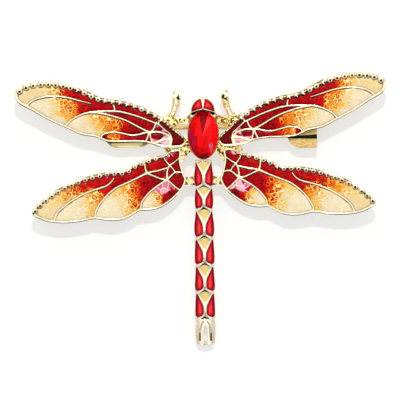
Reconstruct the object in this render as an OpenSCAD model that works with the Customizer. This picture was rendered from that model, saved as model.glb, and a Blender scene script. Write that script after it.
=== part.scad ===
// Dragonfly brooch: a cast gold-coloured body and four wings with enamel cells,
// an oval red stone, beaded wing edges, and a hinged pin with a catch on the back.
// It lies on its back: +Z points out of the face, +Y to the head.

/* [Wings] */
// Thickness of the cast wing plates
wing_t = 1.5; // [1.3:0.1:1.8]
// Height of the wing backs above the table, at the stone
wing_z = 3.2; // [3.1:0.1:3.6]
// Rise of each wing from root to tip, in degrees
wing_rise = 2; // [1:0.5:3]
// Turn of the wings round the stone, against the straight body, in degrees
wing_turn = 1.1; // [0:0.1:1.5]
// How much farther the left wings stand from the stone than the right ones
left_wing_out = 0.58; // [0:0.02:0.6]
// Depth of the enamel cells in the wings
cell_depth = 0.7; // [0.6:0.05:0.9]
// Width of the veins between the cells, as share of the width in their tables
vein_scale = 0.74; // [0.7:0.02:1]
// Radius of the beads along the front edges of the front wings
bead_r = 0.5; // [0.4:0.02:0.54]
// Radius of the beads along the front edges of the rear wings
rear_bead_r = 0.44; // [0.4:0.02:0.48]
// Distance from one bead to the next
bead_pitch = 1.48; // [1.4:0.02:1.8]

/* [Enamel] */
// How far the enamel's top lies under the metal's edge
enamel_sink = 0.1; // [0.05:0.01:0.2]
// Gap between enamel and metal, and between stone and setting
seat_gap = 0.03; // [0.02:0.01:0.05]

/* [Stone] */
// Width of the oval stone
stone_w = 5.9; // [5.6:0.1:6]
// Length of the oval stone
stone_l = 9.4; // [9.1:0.1:9.6]
// Height of the stone's crown over its girdle
crown_h = 1.7; // [1.4:0.1:2]
// Wall of the setting round the stone
setting_wall = 0.18; // [0.16:0.02:0.26]

/* [Abdomen] */
// Length of the abdomen from the setting to the end of the tail
abdomen_l = 37.1; // [36.5:0.1:37.5]
// Thickness of the abdomen along its middle
abdomen_t = 2.6; // [2.4:0.1:2.8]

/* [Pin] */
// Radius of the pin stem
stem_r = 0.6; // [0.5:0.05:0.6]
// Height of the pin line above the table
pin_z = 1.24; // [1.2:0.02:1.3]
// Radius of the hinge rivet
rivet_r = 0.4; // [0.35:0.05:0.4]
// Running gap between the rivet and the stem's eye
hinge_gap = 0.05; // [0.03:0.01:0.06]
// Opening of the catch, on top of the width of the stem's tip
catch_play = 0.3; // [0.3:0.05:0.5]

/* [Hidden] */
$fn = 48;

gold = [0.86, 0.78, 0.56];
enamel_red = [0.68, 0.02, 0.05];
stone_red = [0.8, 0.02, 0.06];

// Middle of the whole brooch's box, from the stone's middle
box_middle = [-0.48, -14.79];

// Outlines of the wings seen from the front, from the stone's middle: x, y and width of the metal edge
front_edge = [
    [3.1, -1.2, 0.3], [3.6, -0.2, 0.3], [5.4, 1.4, 0.34], [7.6, 3.5, 0.42], [10, 5.1, 0.44],
    [13, 6.5, 0.45], [16, 7.35, 0.46], [19.5, 7.95, 0.5], [22, 9.15, 0.58], [25, 10.65, 0.7],
    [28.5, 11.6, 0.8], [32, 11.85, 0.86], [34.8, 11.35, 0.86], [36.6, 10.3, 0.8], [37.05, 8.85, 0.64],
    [36.2, 7.3, 0.56], [33.5, 5.75, 0.48], [30.5, 3.9, 0.42], [27, 2.2, 0.4], [24, 0.75, 0.4],
    [21.2, 0.2, 0.4], [19.9, -0.4, 0.4], [18, -0.95, 0.36], [13, -1.05, 0.34], [10.6, -1.35, 0.34],
    [8.2, -2.2, 0.5], [6, -2.5, 0.52], [4, -2.3, 0.4]
];
rear_edge = [
    [4.2, -3.1, 0.3], [5.2, -2.85, 0.32], [6.6, -3.2, 0.36], [7.6, -3.85, 0.4], [9.3, -4.05, 0.42],
    [11.3, -4.7, 0.42], [13, -5.3, 0.42], [14.3, -6, 0.42], [15.3, -6.65, 0.44], [16.6, -6.8, 0.44],
    [18.5, -6.8, 0.46], [21, -7.2, 0.48], [23.5, -7.8, 0.5], [26, -8.65, 0.52], [28.5, -9.75, 0.54],
    [31, -11.2, 0.58], [33, -12.75, 0.58], [34.1, -14, 0.56], [34.2, -14.9, 0.54], [33.2, -15.65, 0.46],
    [31, -16.5, 0.42], [28, -16.85, 0.4], [25, -16.7, 0.4], [22.8, -16.3, 0.4], [21.5, -16.2, 0.4],
    [20, -16.5, 0.4], [18, -16.7, 0.4], [16, -16.45, 0.4], [14.2, -15.65, 0.4], [12.9, -14.9, 0.4],
    [12.2, -14.8, 0.4], [10.5, -14.8, 0.4], [8.5, -14.3, 0.4], [6.5, -13.1, 0.4], [4.9, -11.7, 0.38],
    [3.75, -10.2, 0.36], [3.3, -8.8, 0.36], [3.65, -7.9, 0.32], [4.15, -6, 0.32], [4.3, -4.8, 0.32]
];
// First and last edge points that carry beads, and small beads at the root
front_bead_run = [3, 13];
rear_bead_run = [4, 17];
front_small_run = [1, 3];
rear_small_run = [2, 4];
// Where the bead centres lie, as share of the metal edge's width: on its inner side, and for the small ones
bead_share = 1;
small_bead_share = 0.7;
small_bead_r = 0.27;
small_bead_pitch = 0.7;
// The round seat of a bead is a little wider than the bead, and has this many sides
bead_seat = 0.02;
seat_sides = 20;

// Veins between the enamel cells: x, y and width of the vein there
front_veins = [
    // Under the leading cells, to the rear edge
    [[8.5, 2.4, 0.36], [10, 3, 0.38], [12, 3.85, 0.38], [14, 4.55, 0.38], [16, 5.1, 0.38],
        [18, 5.3, 0.38], [20, 5.3, 0.4], [22, 5.15, 0.42], [23.5, 4.85, 0.38], [25, 4.25, 0.36],
        [26.2, 3.5, 0.36], [27.1, 2.5, 0.4], [27.2, 1.9, 0.4]],
    // From the hub along the middle, into the vein above
    [[10.2, 0.8, 0.6], [11.1, 1.2, 0.46], [12.3, 1.85, 0.4], [15, 3.35, 0.38], [18, 4.4, 0.4],
        [20, 4.9, 0.46], [21.6, 5.1, 0.4]],
    // Over the narrow lower cell
    [[10.2, 0.8, 0.6], [11.5, 0.72, 0.42], [12.4, 0.47, 0.36], [14, 0.35, 0.34], [15.5, 0.7, 0.34],
        [17, 1.05, 0.34], [18.2, 1.05, 0.34], [19.2, 0.85, 0.36], [19.8, 0.45, 0.36], [20.1, -0.3, 0.4]],
    // Free vein of the tip
    [[21.8, 6.9, 0.2], [24, 7.5, 0.28], [26, 8.1, 0.34], [28, 8.5, 0.36], [30, 8.6, 0.38],
        [32, 8.35, 0.38], [33.5, 7.8, 0.4], [34.6, 6.9, 0.5], [34.9, 6.3, 0.5]],
    // Short bars and the small cells at the root
    [[17.15, 5.2, 0.5], [17.2, 6, 0.36], [17.5, 7, 0.46]],
    [[8.5, 2.4, 0.36], [8.4, 3, 0.28], [8.3, 4, 0.36]],
    [[9, 2.6, 0.4], [9.4, 1.6, 0.36], [9.85, 1.05, 0.46], [10.2, 0.8, 0.6]],
    [[5.9, -0.6, 0.3], [6.2, 0.35, 0.24], [7.3, 1.3, 0.24], [8.5, 2.4, 0.36]],
    [[5.9, -0.6, 0.4], [6.6, 0.1, 0.42], [7.6, 0.55, 0.42], [8.8, 0.85, 0.44], [10.2, 0.8, 0.6]],
    [[6, -0.5, 0.8], [7.3, -0.7, 0.7], [8.5, -1.05, 0.6], [9.6, -1.5, 0.5]],
    [[10.2, 0.8, 0.5], [10.15, -0.1, 0.36], [9.8, -1.5, 0.4]],
    [[10.4, 0.7, 0.5], [10.75, -0.2, 0.36], [11.25, -1.3, 0.4]],
    [[6, -0.5, 0.7], [6.1, -1.2, 0.8], [6.4, -2.4, 0.7]]
];
rear_veins = [
    // Along the middle to the rear edge
    [[11.1, -7.3, 0.6], [12.6, -8.05, 0.4], [14.3, -8.8, 0.38], [16, -9.5, 0.38], [17.5, -10.2, 0.36],
        [19, -11.35, 0.34], [20.3, -12.7, 0.34], [21.2, -14, 0.36], [21.7, -15.2, 0.4],
        [21.6, -16.4, 0.46]],
    // Free vein of the tip
    [[17.7, -8.1, 0.2], [18.3, -8.9, 0.28], [19.3, -9.65, 0.34], [21, -10.2, 0.36], [23, -10.8, 0.36],
        [25, -11.7, 0.36], [26.8, -12.7, 0.38], [28.3, -13.85, 0.38], [29.4, -14.95, 0.4],
        [30.1, -16.8, 0.5]],
    // Round the lower inner cell
    [[7.1, -8.8, 0.6], [8.5, -9.6, 0.42], [9.7, -10.4, 0.4], [10.8, -11.3, 0.38], [11.8, -12.4, 0.38],
        [12.4, -13.4, 0.38], [12.6, -15.1, 0.5]],
    // Bars round the small cells at the root
    [[11.5, -4.7, 0.46], [11.4, -6.2, 0.38], [11.1, -7.3, 0.6]],
    [[7.1, -8.8, 0.5], [6, -9.8, 0.38], [5.2, -10.5, 0.36], [4.1, -11.2, 0.4]],
    [[7.1, -8.8, 0.5], [6.1, -7.85, 0.38], [5.4, -7.35, 0.36], [4.8, -7.3, 0.32], [3.6, -7.6, 0.38]],
    [[7.1, -8.8, 0.6], [7.05, -7.6, 0.44], [6.95, -6.8, 0.38], [6.5, -5.9, 0.42]],
    [[6.5, -5.9, 0.4], [7, -5.3, 0.32], [7.45, -4.6, 0.32], [7.6, -3.6, 0.38]],
    [[6.5, -5.9, 0.36], [5.4, -5.2, 0.24], [4.1, -4.2, 0.3]],
    [[6.5, -5.9, 0.36], [5.8, -6.7, 0.28], [5.4, -7.35, 0.36]],
    [[6.9, -6.4, 0.4], [7.8, -6.65, 0.36], [9, -6.95, 0.36], [10, -7.1, 0.38], [11.1, -7.3, 0.5]],
    [[7.1, -8.8, 0.5], [8.2, -8.6, 0.38], [9.2, -8.2, 0.34], [10.1, -7.8, 0.36], [11.1, -7.3, 0.5]]
];

// Oval stone: rings of facet corners, as height over the girdle, share of the outline, turn in steps
stone_rings = [
    [-0.95, 0.3, 0], [-0.5, 0.72, 0.5], [-0.08, 1, 0], [0.08, 1, 0], [0.95, 0.8, 0.5], [crown_h, 0.46, 0]
];
stone_sides = 16;

// Right half of the head's outline, from the crown to the shoulder: x, y
head_half = [
    [0, 7.5], [1, 7.2], [1.76, 6.6], [2.2, 5.85], [2.38, 5.2], [2.42, 4.6], [2.6, 4.1], [3, 3.55],
    [3.5, 3.3], [4.2, 3.15]
];
// Where the head's outline ends under the shoulders: x, y
head_foot = [[3.6, 2.6], [0, 2.6]];
// Dome that rounds the head's top: its middle ahead of the stone's, height of its crown, radius
head_dome_y = 5;
head_top_z = 6.2;
head_dome_r = 4.6;
head_cell_depth = 0.6;
// Right enamel lobe of the head: x, y
head_lobe = [
    [0.46, 7.14], [1, 7], [1.62, 6.5], [2.06, 5.8], [2.24, 5.2], [2.28, 4.74], [2.05, 4.68], [1.4, 4.9],
    [0.7, 5.1], [0.16, 5.24], [0.13, 5.7], [0.26, 6.5]
];
// The head's high part ends in this arc over the stone, with the lower collar under it: x, y
head_arc = [[0, 5.02], [0.7, 4.9], [1.4, 4.7], [2.05, 4.48], [3, 4.1], [5, 4.1], [5, 2]];
// Antenna, from the bulb to the wing: x, y, radius
antenna_line = [[4.66, 8.25, 0.8], [4.72, 7.3, 0.8], [4.85, 6.3, 0.74], [5.3, 5, 0.62], [5.9, 3.6, 0.56]];
// The balls at a rod's bends stand a little proud of it
joint_swell = 1.03;
// Metal between the setting and the wing roots, right side: x, y
flank = [
    [0, -0.4], [2.9, -0.5], [3.6, -0.7], [4.6, -1.6], [7.4, -2], [7.6, -3.3], [5.4, -3.6], [4.5, -4.4],
    [4.4, -5.4], [3.9, -5.2], [3.6, -4.3], [3, -3.8], [2.2, -3.5], [0, -3.5]
];
shoulder = [
    [0, 4.4], [2.6, 4.4], [3.3, 3.5], [4.3, 3.2], [5.4, 3.6], [6.2, 4.4], [7.2, 4.1], [8.2, 3.9],
    [7.2, 2.6], [5.8, 1.6], [5.2, 2.2], [4.4, 2.45], [3, 2.5], [0, 2.5]
];
// Thicker metal on the right side only, between the shoulder and the wing: x, y
right_fill = [[2.6, 4.2], [3.4, 3.8], [4.6, 3.7], [6.2, 3.6], [6.6, 2.6], [5.4, 1.7], [4.4, 1.8], [3, 2.1]];
// Bridge from the abdomen to the rear wing: x, y
bridge = [[0, -8.2], [1.8, -8.2], [3, -8.5], [4.5, -8.3], [4.6, -10.1], [3, -9.9], [1.8, -10.1], [0, -10.1]];
bridge_t = 1.2;
// Height of the metal round the root above the wing backs
root_t = 1.35;
fill_t = 1.25;

// Half width of the abdomen along its length: distance from the setting, half width
abdomen_half = [
    [0, 1.64], [1.3, 1.68], [3.2, 1.96], [4.5, 1.84], [5.4, 1.66], [7.6, 1.86], [9, 1.82], [9.9, 1.68],
    [11, 1.74], [12.8, 1.98], [14.4, 2], [15.6, 1.82], [18.7, 1.98], [20.3, 1.99], [21.1, 1.78],
    [22.3, 1.84], [24.7, 2.02], [25.6, 2.02], [26.5, 1.82], [27.6, 1.88], [29.2, 1.98], [31, 2],
    [31.8, 1.88], [33.5, 1.96], [35, 1.98], [36.2, 1.84], [36.8, 1.62], [37.1, 1.3]
];
// Where each of the six segments and the tail begin
segment_at = [0, 5.3, 9.8, 15.5, 21, 26.4, 31.7];
// Side cell of a segment: points along the abdomen's edge, as share of the segment's length and distance
// inside that edge, then points beside the goblet, as share and distance from the middle line
cell_outer = [[0.1, 0.12], [0.3, 0.09], [0.5, 0.09], [0.75, 0.09], [0.94, 0.11]];
cell_inner = [
    [0.975, 1.54], [0.945, 1.04], [0.905, 0.6], [0.85, 0.34], [0.74, 0.29], [0.62, 0.3], [0.5, 0.42],
    [0.33, 0.86], [0.19, 1.22], [0.09, 1.5]
];
// Sunk goblet of a segment: share of the segment's length, half width
goblet = [
    [-0.08, 0], [-0.05, 0.3], [0.01, 0.74], [0.06, 1.14], [0.1, 1.2], [0.2, 0.9], [0.3, 0.5], [0.4, 0.12],
    [0.42, 0]
];
// The first goblet starts this far behind the setting
first_goblet_from = 0.15;
goblet_depth = 0.3;
abdomen_cell_depth = 0.55;
// Rise of the abdomen's rounded top over its edges
abdomen_dome = 0.8;
// Slots between the four prongs of the tail: share of the tail's length, half width
tail_slot = [[0.27, 0], [0.42, 0.32], [0.62, 0.42], [0.85, 0.32], [0.95, 0]];
// Sunk crescent over the tail's prongs: distance behind the tail's start, half width
tail_crescent = [[-0.3, 0], [-0.22, 0.36], [0.06, 0.74], [0.2, 0.74], [0.14, 0.3], [0.12, 0]];
// Grooves between the prongs, from the crescent to the slits: x, distance behind the tail's start, width
tail_groove = [[0.4, 0.7, 0.2], [0.8, 1.4, 0.24], [1.08, 2.4, 0.26], [1.14, 3.3, 0.26]];
tail_groove_depth = 0.35;
// Slits beside the middle slot: distance from the middle line, rear end from the tail's start, sizes
tail_slit_x = 1.12;
tail_slit_to = 4.6;
tail_slit_l = 1.5;
tail_slit_w = 0.3;

// Pin: distance of the pin line ahead of the stone's middle, hinge and catch along it
pin_y = 1.68;
hinge_x = -15.6;
catch_x = 20;
eye_r = 1.02;
eye_w = 1.2;
// Taper at the stem's root, between the ears: its radius at the rivet, and where it ends
taper_r = 0.66;
taper_to = -14.1;
ear_gap = 1.4;
ear_w = 0.6;
// Gap round the rivet in the ears and under its heads
ear_play = 0.02;
// How far the ears run into the pad
ear_sunk = 0.4;
rivet_head_h = 0.3;
rivet_head_r = 0.7;
rivet_top_r = 0.45;
// Step down to the thinner tip, where the point begins and ends
thin_from = 16.4;
step_l = 0.6;
tip_r = 0.45;
tip_from = 22.6;
tip_end = 24.4;
point_r = 0.06;
catch_len = 5;
catch_wall = 0.5;
catch_web_w = 1;
// Solder pads on the wing backs: their corner nearest the body and the tail, thickness and sizes
pad_t = 0.5;
hinge_pad_at = [9.7, -2.05];
hinge_pad_l = 9.6;
hinge_pad_r = 2.55;
catch_pad_at = [16.9, -3.2];
catch_pad_w = 6;

eye_bore_r = rivet_r + hinge_gap;
// Where the abdomen's back begins behind the stone's middle, and how high
abdomen_y = -4.94;
abdomen_root_z = 3.1;
abdomen_fall = asin(abdomen_root_z / abdomen_l);
setting_z = abdomen_root_z;
setting_top = 5.35;
girdle_z = 5.1;
stone_seat_z = 4;
// Extra length of a blank or a cut past the metal
over = 1;

// Points of a smooth curve for each point of its table, and of the stone's outline in all
curve_steps = 4;
oval_points = 48;

function xy(p) = [p[0], p[1]];
function near(p, i, closed) = closed ? p[(i + len(p)) % len(p)] : p[min(max(i, 0), len(p) - 1)];
function bend(a, b, c, d, t) =
    (2 * b + (c - a) * t + (2 * a - 5 * b + 4 * c - d) * t * t + (3 * b - a - 3 * c + d) * t * t * t) / 2;
// A smooth curve through a table's points, in as many columns as the table has
function smooth(p, closed = false) = [
    for (i = [0 : len(p) - (closed ? 1 : 2)])
        for (s = [0 : curve_steps - 1])
            bend(near(p, i - 1, closed), near(p, i, closed), near(p, i + 1, closed),
                near(p, i + 2, closed), s / curve_steps),
    if (!closed) p[len(p) - 1]
];
// Unit vector to the right of a curve's run
function right_of(p, i, closed) =
    let (d = xy(near(p, i + 1, closed)) - xy(near(p, i - 1, closed)))
    [d[1], -d[0]] / norm(d);
// A closed curve moved inward by its third column and a bit more
function inset(p, more = 0) = [
    for (i = [0 : len(p) - 1]) xy(p[i]) + (p[i][2] + more) * right_of(p, i, true)
];
// A band along an open curve, its width from the third column, and a bit more on either side
function band(p, more = 0) = concat(
    [for (i = [0 : len(p) - 1]) xy(p[i]) + (vein_scale * p[i][2] / 2 + more) * right_of(p, i, false)],
    [for (i = [len(p) - 1 : -1 : 0]) xy(p[i]) - (vein_scale * p[i][2] / 2 + more) * right_of(p, i, false)]
);
// A half outline and its mirror image
function both_halves(p) =
    concat(p, [for (i = [len(p) - 1 : -1 : 0]) if (p[i][0] > 0) [-p[i][0], p[i][1]]]);
// A closed curve, drawn clockwise, made larger all round
function grow(p, by) = [for (i = [0 : len(p) - 1]) xy(p[i]) - by * right_of(p, i, true)];
// The stone's oval made larger all round
function stone_oval(more) = [
    for (i = [0 : oval_points - 1])
        let (a = i * 360 / oval_points)
        [(stone_w / 2 + more) * cos(a), (stone_l / 2 + more) * sin(a)]
];
// Distances along a line of points
function lengths(p) = [
    for (i = 0, s = 0; i < len(p); i = i + 1, s = s + (i < len(p) ? norm(p[i] - p[i - 1]) : 0)) s
];
function point_at(p, l, s) =
    let (i = max([for (k = [0 : len(l) - 2]) if (l[k] <= s) k]), t = (s - l[i]) / (l[i + 1] - l[i]))
    p[i] * (1 - t) + p[i + 1] * t;
// Bead centres at equal steps along the part of an edge that carries them
function bead_places(edge, run, share, pitch) =
    let (
        curve = smooth(edge, true),
        ends = run * curve_steps,
        line = [for (i = [ends[0] : ends[1]]) xy(curve[i]) + share * curve[i][2] * right_of(curve, i, true)],
        l = lengths(line),
        whole = l[len(l) - 1],
        n = floor(whole / pitch)
    )
    [for (i = [0 : n]) point_at(line, l, min(i * whole / n, whole - 0.001))];
// All beads of a wing: x, y, radius
function wing_beads(edge, run, small_run, r) =
    let (small = bead_places(edge, small_run, small_bead_share, small_bead_pitch))
    concat(
        [for (p = bead_places(edge, run, bead_share, bead_pitch)) [p[0], p[1], r]],
        [for (i = [0 : len(small) - 2]) [small[i][0], small[i][1], small_bead_r]]
    );
front_beads = wing_beads(front_edge, front_bead_run, front_small_run, bead_r);
rear_beads = wing_beads(rear_edge, rear_bead_run, rear_small_run, rear_bead_r);
function half_width(s) = lookup(s, abdomen_half);
function segment_length(i) = segment_at[i + 1] - segment_at[i];

// Puts what is drawn round the stone's middle into the brooch's own frame
module in_frame() {
    translate([-box_middle[0], -box_middle[1], 0]) children();
}

module on_wing(side) {
    translate([side == "left" ? -left_wing_out : 0, 0, 0])
        rotate([0, 0, wing_turn])
            mirror([side == "left" ? 1 : 0, 0, 0])
                rotate([0, -wing_rise, 0])
                    translate([0, 0, wing_z])
                        children();
}

module cells(edge, veins, beads, gap) {
    difference() {
        polygon(inset(smooth(edge, true), gap));
        for (v = veins) polygon(band(smooth(v), gap));
        for (b = beads) translate([b[0], b[1]]) circle(b[2] + bead_seat + gap, $fn = seat_sides);
    }
}

module wing_blank(edge, beads) {
    linear_extrude(wing_t) polygon([for (p = smooth(edge, true)) xy(p)]);
    for (b = beads)
        translate([b[0], b[1], wing_t])
            sphere(b[2]);
}

module wing_pockets(edge, veins, beads) {
    translate([0, 0, wing_t - cell_depth])
        linear_extrude(cell_depth + over)
            cells(edge, veins, beads, 0);
}

module wing_enamel(edge, veins, beads) {
    translate([0, 0, wing_t - cell_depth + seat_gap])
        linear_extrude(cell_depth - enamel_sink - seat_gap)
            cells(edge, veins, beads, seat_gap);
}

// A rod whose thickness changes from point to point
module rod(line) {
    for (i = [0 : len(line) - 2]) {
        d = xy(line[i + 1]) - xy(line[i]);
        translate([line[i][0], line[i][1], 0]) {
            sphere(joint_swell * line[i][2]);
            rotate([0, 90, atan2(d[1], d[0])]) cylinder(norm(d), line[i][2], line[i + 1][2]);
        }
    }
}

module root_metal() {
    for (shape = [flank, shoulder])
        translate([0, 0, wing_z]) linear_extrude(root_t) polygon(both_halves(shape));
    translate([0, 0, wing_z]) linear_extrude(fill_t) polygon(right_fill);
    translate([0, 0, wing_z]) linear_extrude(bridge_t) polygon(both_halves(bridge));
}

module head_dome(drop) {
    translate([0, head_dome_y, head_top_z - head_dome_r]) sphere(head_dome_r - drop);
}

module head_blank(outline) {
    translate([0, 0, wing_z]) linear_extrude(head_top_z - wing_z + over) polygon(outline);
}

module head_pocket(gap) {
    difference() {
        head_blank(grow(smooth(head_lobe, true), -gap));
        head_dome(head_cell_depth - gap);
    }
}

module head_metal() {
    difference() {
        intersection() {
            head_blank(both_halves(concat(smooth(head_half), head_foot)));
            head_dome(0);
        }
        for (m = [0, 1]) mirror([m, 0, 0]) head_pocket(0);
        translate([0, 0, setting_top])
            linear_extrude(head_top_z - setting_top + over)
                polygon(both_halves(head_arc));
    }
}

module head_enamel() {
    intersection() {
        head_pocket(seat_gap);
        head_dome(enamel_sink);
    }
}

module setting_blank() {
    translate([0, 0, setting_z])
        linear_extrude(setting_top - setting_z)
            polygon(stone_oval(seat_gap + setting_wall));
}

// Room for the stone, open to the front
module stone_pocket() {
    translate([0, 0, stone_seat_z - seat_gap])
        linear_extrude(head_top_z - stone_seat_z + over)
            polygon(stone_oval(seat_gap));
}

// The abdomen's own frame: its length runs along -Y, and its back slopes down to the table
module on_abdomen() {
    translate([0, abdomen_y, abdomen_root_z]) rotate([abdomen_fall, 0, 0]) children();
}

module abdomen_dome_bar(drop) {
    half = half_width(abdomen_l / 2);
    dome_r = (half * half + abdomen_dome * abdomen_dome) / (2 * abdomen_dome);
    translate([0, over, abdomen_t - dome_r])
        rotate([90, 0, 0])
            cylinder(abdomen_l + 2 * over, dome_r - drop, dome_r - drop);
}

function abdomen_curve() =
    let (c = smooth(abdomen_half))
    concat([for (p = c) [p[1], -p[0]]], [for (i = [len(c) - 1 : -1 : 0]) [-c[i][1], -c[i][0]]]);

function cell_curve(i) =
    let (s = segment_at[i], l = segment_length(i))
    concat(
        [for (q = cell_outer) [half_width(s + q[0] * l) - q[1], -(s + q[0] * l)]],
        smooth([for (q = cell_inner) [q[1], -(s + q[0] * l)]])
    );

function goblet_curve(i) =
    let (s = segment_at[i], l = segment_length(i))
    both_halves([for (q = goblet) [q[1], -max(first_goblet_from, s + q[0] * l)]]);

function behind_tail(p) = [for (q = p) [q[1], -segment_at[6] - q[0]]];
function tail_groove_line() = [for (q = tail_groove) [q[0], -segment_at[6] - q[1], q[2]]];

function tail_slot_curve() =
    let (s = segment_at[6], l = abdomen_l - segment_at[6])
    both_halves([for (q = smooth(tail_slot)) [q[1], -(s + q[0] * l)]]);

module abdomen_cell(i, gap) {
    linear_extrude(abdomen_t + over) polygon(grow(cell_curve(i), -gap));
}

module abdomen_blank() {
    intersection() {
        linear_extrude(abdomen_t + over) polygon(abdomen_curve());
        abdomen_dome_bar(0);
    }
}

// Cells, goblets and the slots of the tail
module abdomen_cuts() {
    for (i = [0 : 5]) {
        for (m = [0, 1])
            mirror([m, 0, 0])
                difference() {
                    abdomen_cell(i, 0);
                    abdomen_dome_bar(abdomen_cell_depth);
                }
        difference() {
            linear_extrude(abdomen_t + over) polygon(goblet_curve(i));
            abdomen_dome_bar(goblet_depth);
        }
    }
    difference() {
        linear_extrude(abdomen_t + over) {
            polygon(both_halves(behind_tail(tail_crescent)));
            for (m = [0, 1]) mirror([m, 0, 0]) polygon(band(smooth(tail_groove_line())));
        }
        abdomen_dome_bar(tail_groove_depth);
    }
    translate([0, 0, -over]) linear_extrude(abdomen_t + 2 * over) polygon(tail_slot_curve());
    for (m = [-1, 1])
        translate([m * tail_slit_x - tail_slit_w / 2, -segment_at[6] - tail_slit_to, -over])
            cube([tail_slit_w, tail_slit_l, abdomen_t + 2 * over]);
}

module abdomen_enamel(i) {
    for (m = [0, 1])
        mirror([m, 0, 0])
            intersection() {
                difference() {
                    abdomen_cell(i, seat_gap);
                    abdomen_dome_bar(abdomen_cell_depth - seat_gap);
                }
                abdomen_dome_bar(enamel_sink);
            }
}

module hinge_pad() {
    translate([hinge_pad_at[0], hinge_pad_at[1], -pad_t]) linear_extrude(pad_t) {
        translate([hinge_pad_r, 0]) square([hinge_pad_l - 2 * hinge_pad_r, 2 * hinge_pad_r]);
        for (x = [hinge_pad_r, hinge_pad_l - hinge_pad_r])
            translate([x, hinge_pad_r])
                circle(hinge_pad_r);
    }
}

module catch_pad() {
    translate([catch_pad_at[0], catch_pad_at[1], -pad_t]) linear_extrude(pad_t) {
        translate([catch_pad_w / 2, 0]) square([catch_pad_w / 2, catch_pad_w]);
        translate([0, catch_pad_w / 2]) square([catch_pad_w, catch_pad_w / 2]);
        translate([catch_pad_w / 2, catch_pad_w / 2]) circle(catch_pad_w / 2);
    }
}

// Turns a flat drawing in X and Z into a slab along Y, about the pin line
module across_pin(x, from, width) {
    translate([x, pin_y + from + width, pin_z]) rotate([90, 0, 0]) linear_extrude(width) children();
}

module hinge_ears() {
    for (from = [-ear_gap / 2 - ear_w, ear_gap / 2])
        across_pin(hinge_x, from, ear_w)
            difference() {
                union() {
                    circle(pin_z);
                    translate([-pin_z, 0]) square([2 * pin_z, wing_z - pin_z + ear_sunk]);
                }
                circle(rivet_r + ear_play);
            }
}

module catch() {
    mouth = tip_r + catch_play / 2;
    out_r = sqrt(pin_z * pin_z + mouth * mouth);
    translate([catch_x - catch_len / 2, pin_y, pin_z])
        rotate([90, 0, 90])
            linear_extrude(catch_len)
                difference() {
                    union() {
                        circle(out_r);
                        translate([-catch_web_w / 2, out_r - catch_wall / 2])
                            square([catch_web_w, wing_z - pin_z]);
                    }
                    circle(out_r - catch_wall);
                    translate([-mouth, -2 * out_r]) square([2 * mouth, 2 * out_r]);
                }
}

// The wings, the body and what joins them, with the cells and the stone's seat cut out
module front_metal() {
    difference() {
        union() {
            for (side = ["left", "right"])
                on_wing(side) {
                    wing_blank(front_edge, front_beads);
                    wing_blank(rear_edge, rear_beads);
                }
            root_metal();
            head_metal();
            setting_blank();
            on_abdomen() abdomen_blank();
        }
        for (side = ["left", "right"])
            on_wing(side) {
                wing_pockets(front_edge, front_veins, front_beads);
                wing_pockets(rear_edge, rear_veins, rear_beads);
            }
        stone_pocket();
        on_abdomen() abdomen_cuts();
    }
}

module gold_casting() {
    color(gold) in_frame() {
        front_metal();
        for (side = ["left", "right"]) on_wing(side) translate([0, 0, wing_t / 2]) rod(antenna_line);
        on_wing("left") hinge_pad();
        on_wing("right") catch_pad();
        hinge_ears();
        catch();
    }
}

// Facets between two rings of points
function ring_faces(low, high, i, j, ahead) =
    ahead
        ? [[low + i, high + i, low + j], [low + j, high + i, high + j]]
        : [[low + i, high + i, high + j], [low + i, high + j, low + j]];

module stone() {
    n = stone_sides;
    last = len(stone_rings) - 1;
    points = [
        for (r = stone_rings)
            for (i = [0 : n - 1])
                let (a = (i + r[2]) * 360 / n)
                [stone_w / 2 * r[1] * cos(a), stone_l / 2 * r[1] * sin(a), r[0]]
    ];
    sides = [
        for (k = [0 : last - 1])
            for (i = [0 : n - 1])
                let (ahead = stone_rings[k + 1][2] >= stone_rings[k][2])
                for (f = ring_faces(k * n, (k + 1) * n, i, (i + 1) % n, ahead))
                    f
    ];
    culet = [for (i = [0 : n - 1]) i];
    table = [for (i = [n - 1 : -1 : 0]) last * n + i];
    color(stone_red)
        in_frame()
            translate([0, 0, girdle_z])
                polyhedron(points, concat([culet, table], sides));
}

module stem_piece(from, to, r_from, r_to) {
    translate([from - hinge_x, 0, 0]) rotate([0, 90, 0]) cylinder(to - from, r_from, r_to);
}

module pin_stem() {
    color(gold) in_frame() translate([hinge_x, pin_y, pin_z]) {
        difference() {
            union() {
                translate([0, eye_w / 2, 0]) rotate([90, 0, 0]) cylinder(eye_w, eye_r, eye_r);
                stem_piece(hinge_x, taper_to, taper_r, stem_r);
            }
            translate([0, eye_w, 0]) rotate([90, 0, 0]) cylinder(2 * eye_w, eye_bore_r, eye_bore_r);
        }
        stem_piece(taper_to, thin_from, stem_r, stem_r);
        stem_piece(thin_from, thin_from + step_l, stem_r, tip_r);
        stem_piece(thin_from + step_l, tip_from, tip_r, tip_r);
        stem_piece(tip_from, tip_end, tip_r, point_r);
    }
}

module hinge_rivet() {
    reach = ear_gap / 2 + ear_w + ear_play;
    color(gold) in_frame() translate([hinge_x, pin_y, pin_z]) rotate([90, 0, 0]) {
        translate([0, 0, -reach]) cylinder(2 * reach, rivet_r, rivet_r);
        for (m = [0, 1])
            mirror([0, 0, m])
                translate([0, 0, reach])
                    cylinder(rivet_head_h, rivet_head_r, rivet_top_r);
    }
}

module enamel_front(side) {
    color(enamel_red) in_frame() on_wing(side) wing_enamel(front_edge, front_veins, front_beads);
}

module enamel_rear(side) {
    color(enamel_red) in_frame() on_wing(side) wing_enamel(rear_edge, rear_veins, rear_beads);
}

module enamel_head(side) {
    color(enamel_red) in_frame() mirror([side == "left" ? 1 : 0, 0, 0]) head_enamel();
}

module enamel_segment(i) {
    color(enamel_red) in_frame() on_abdomen() abdomen_enamel(i);
}

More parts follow.
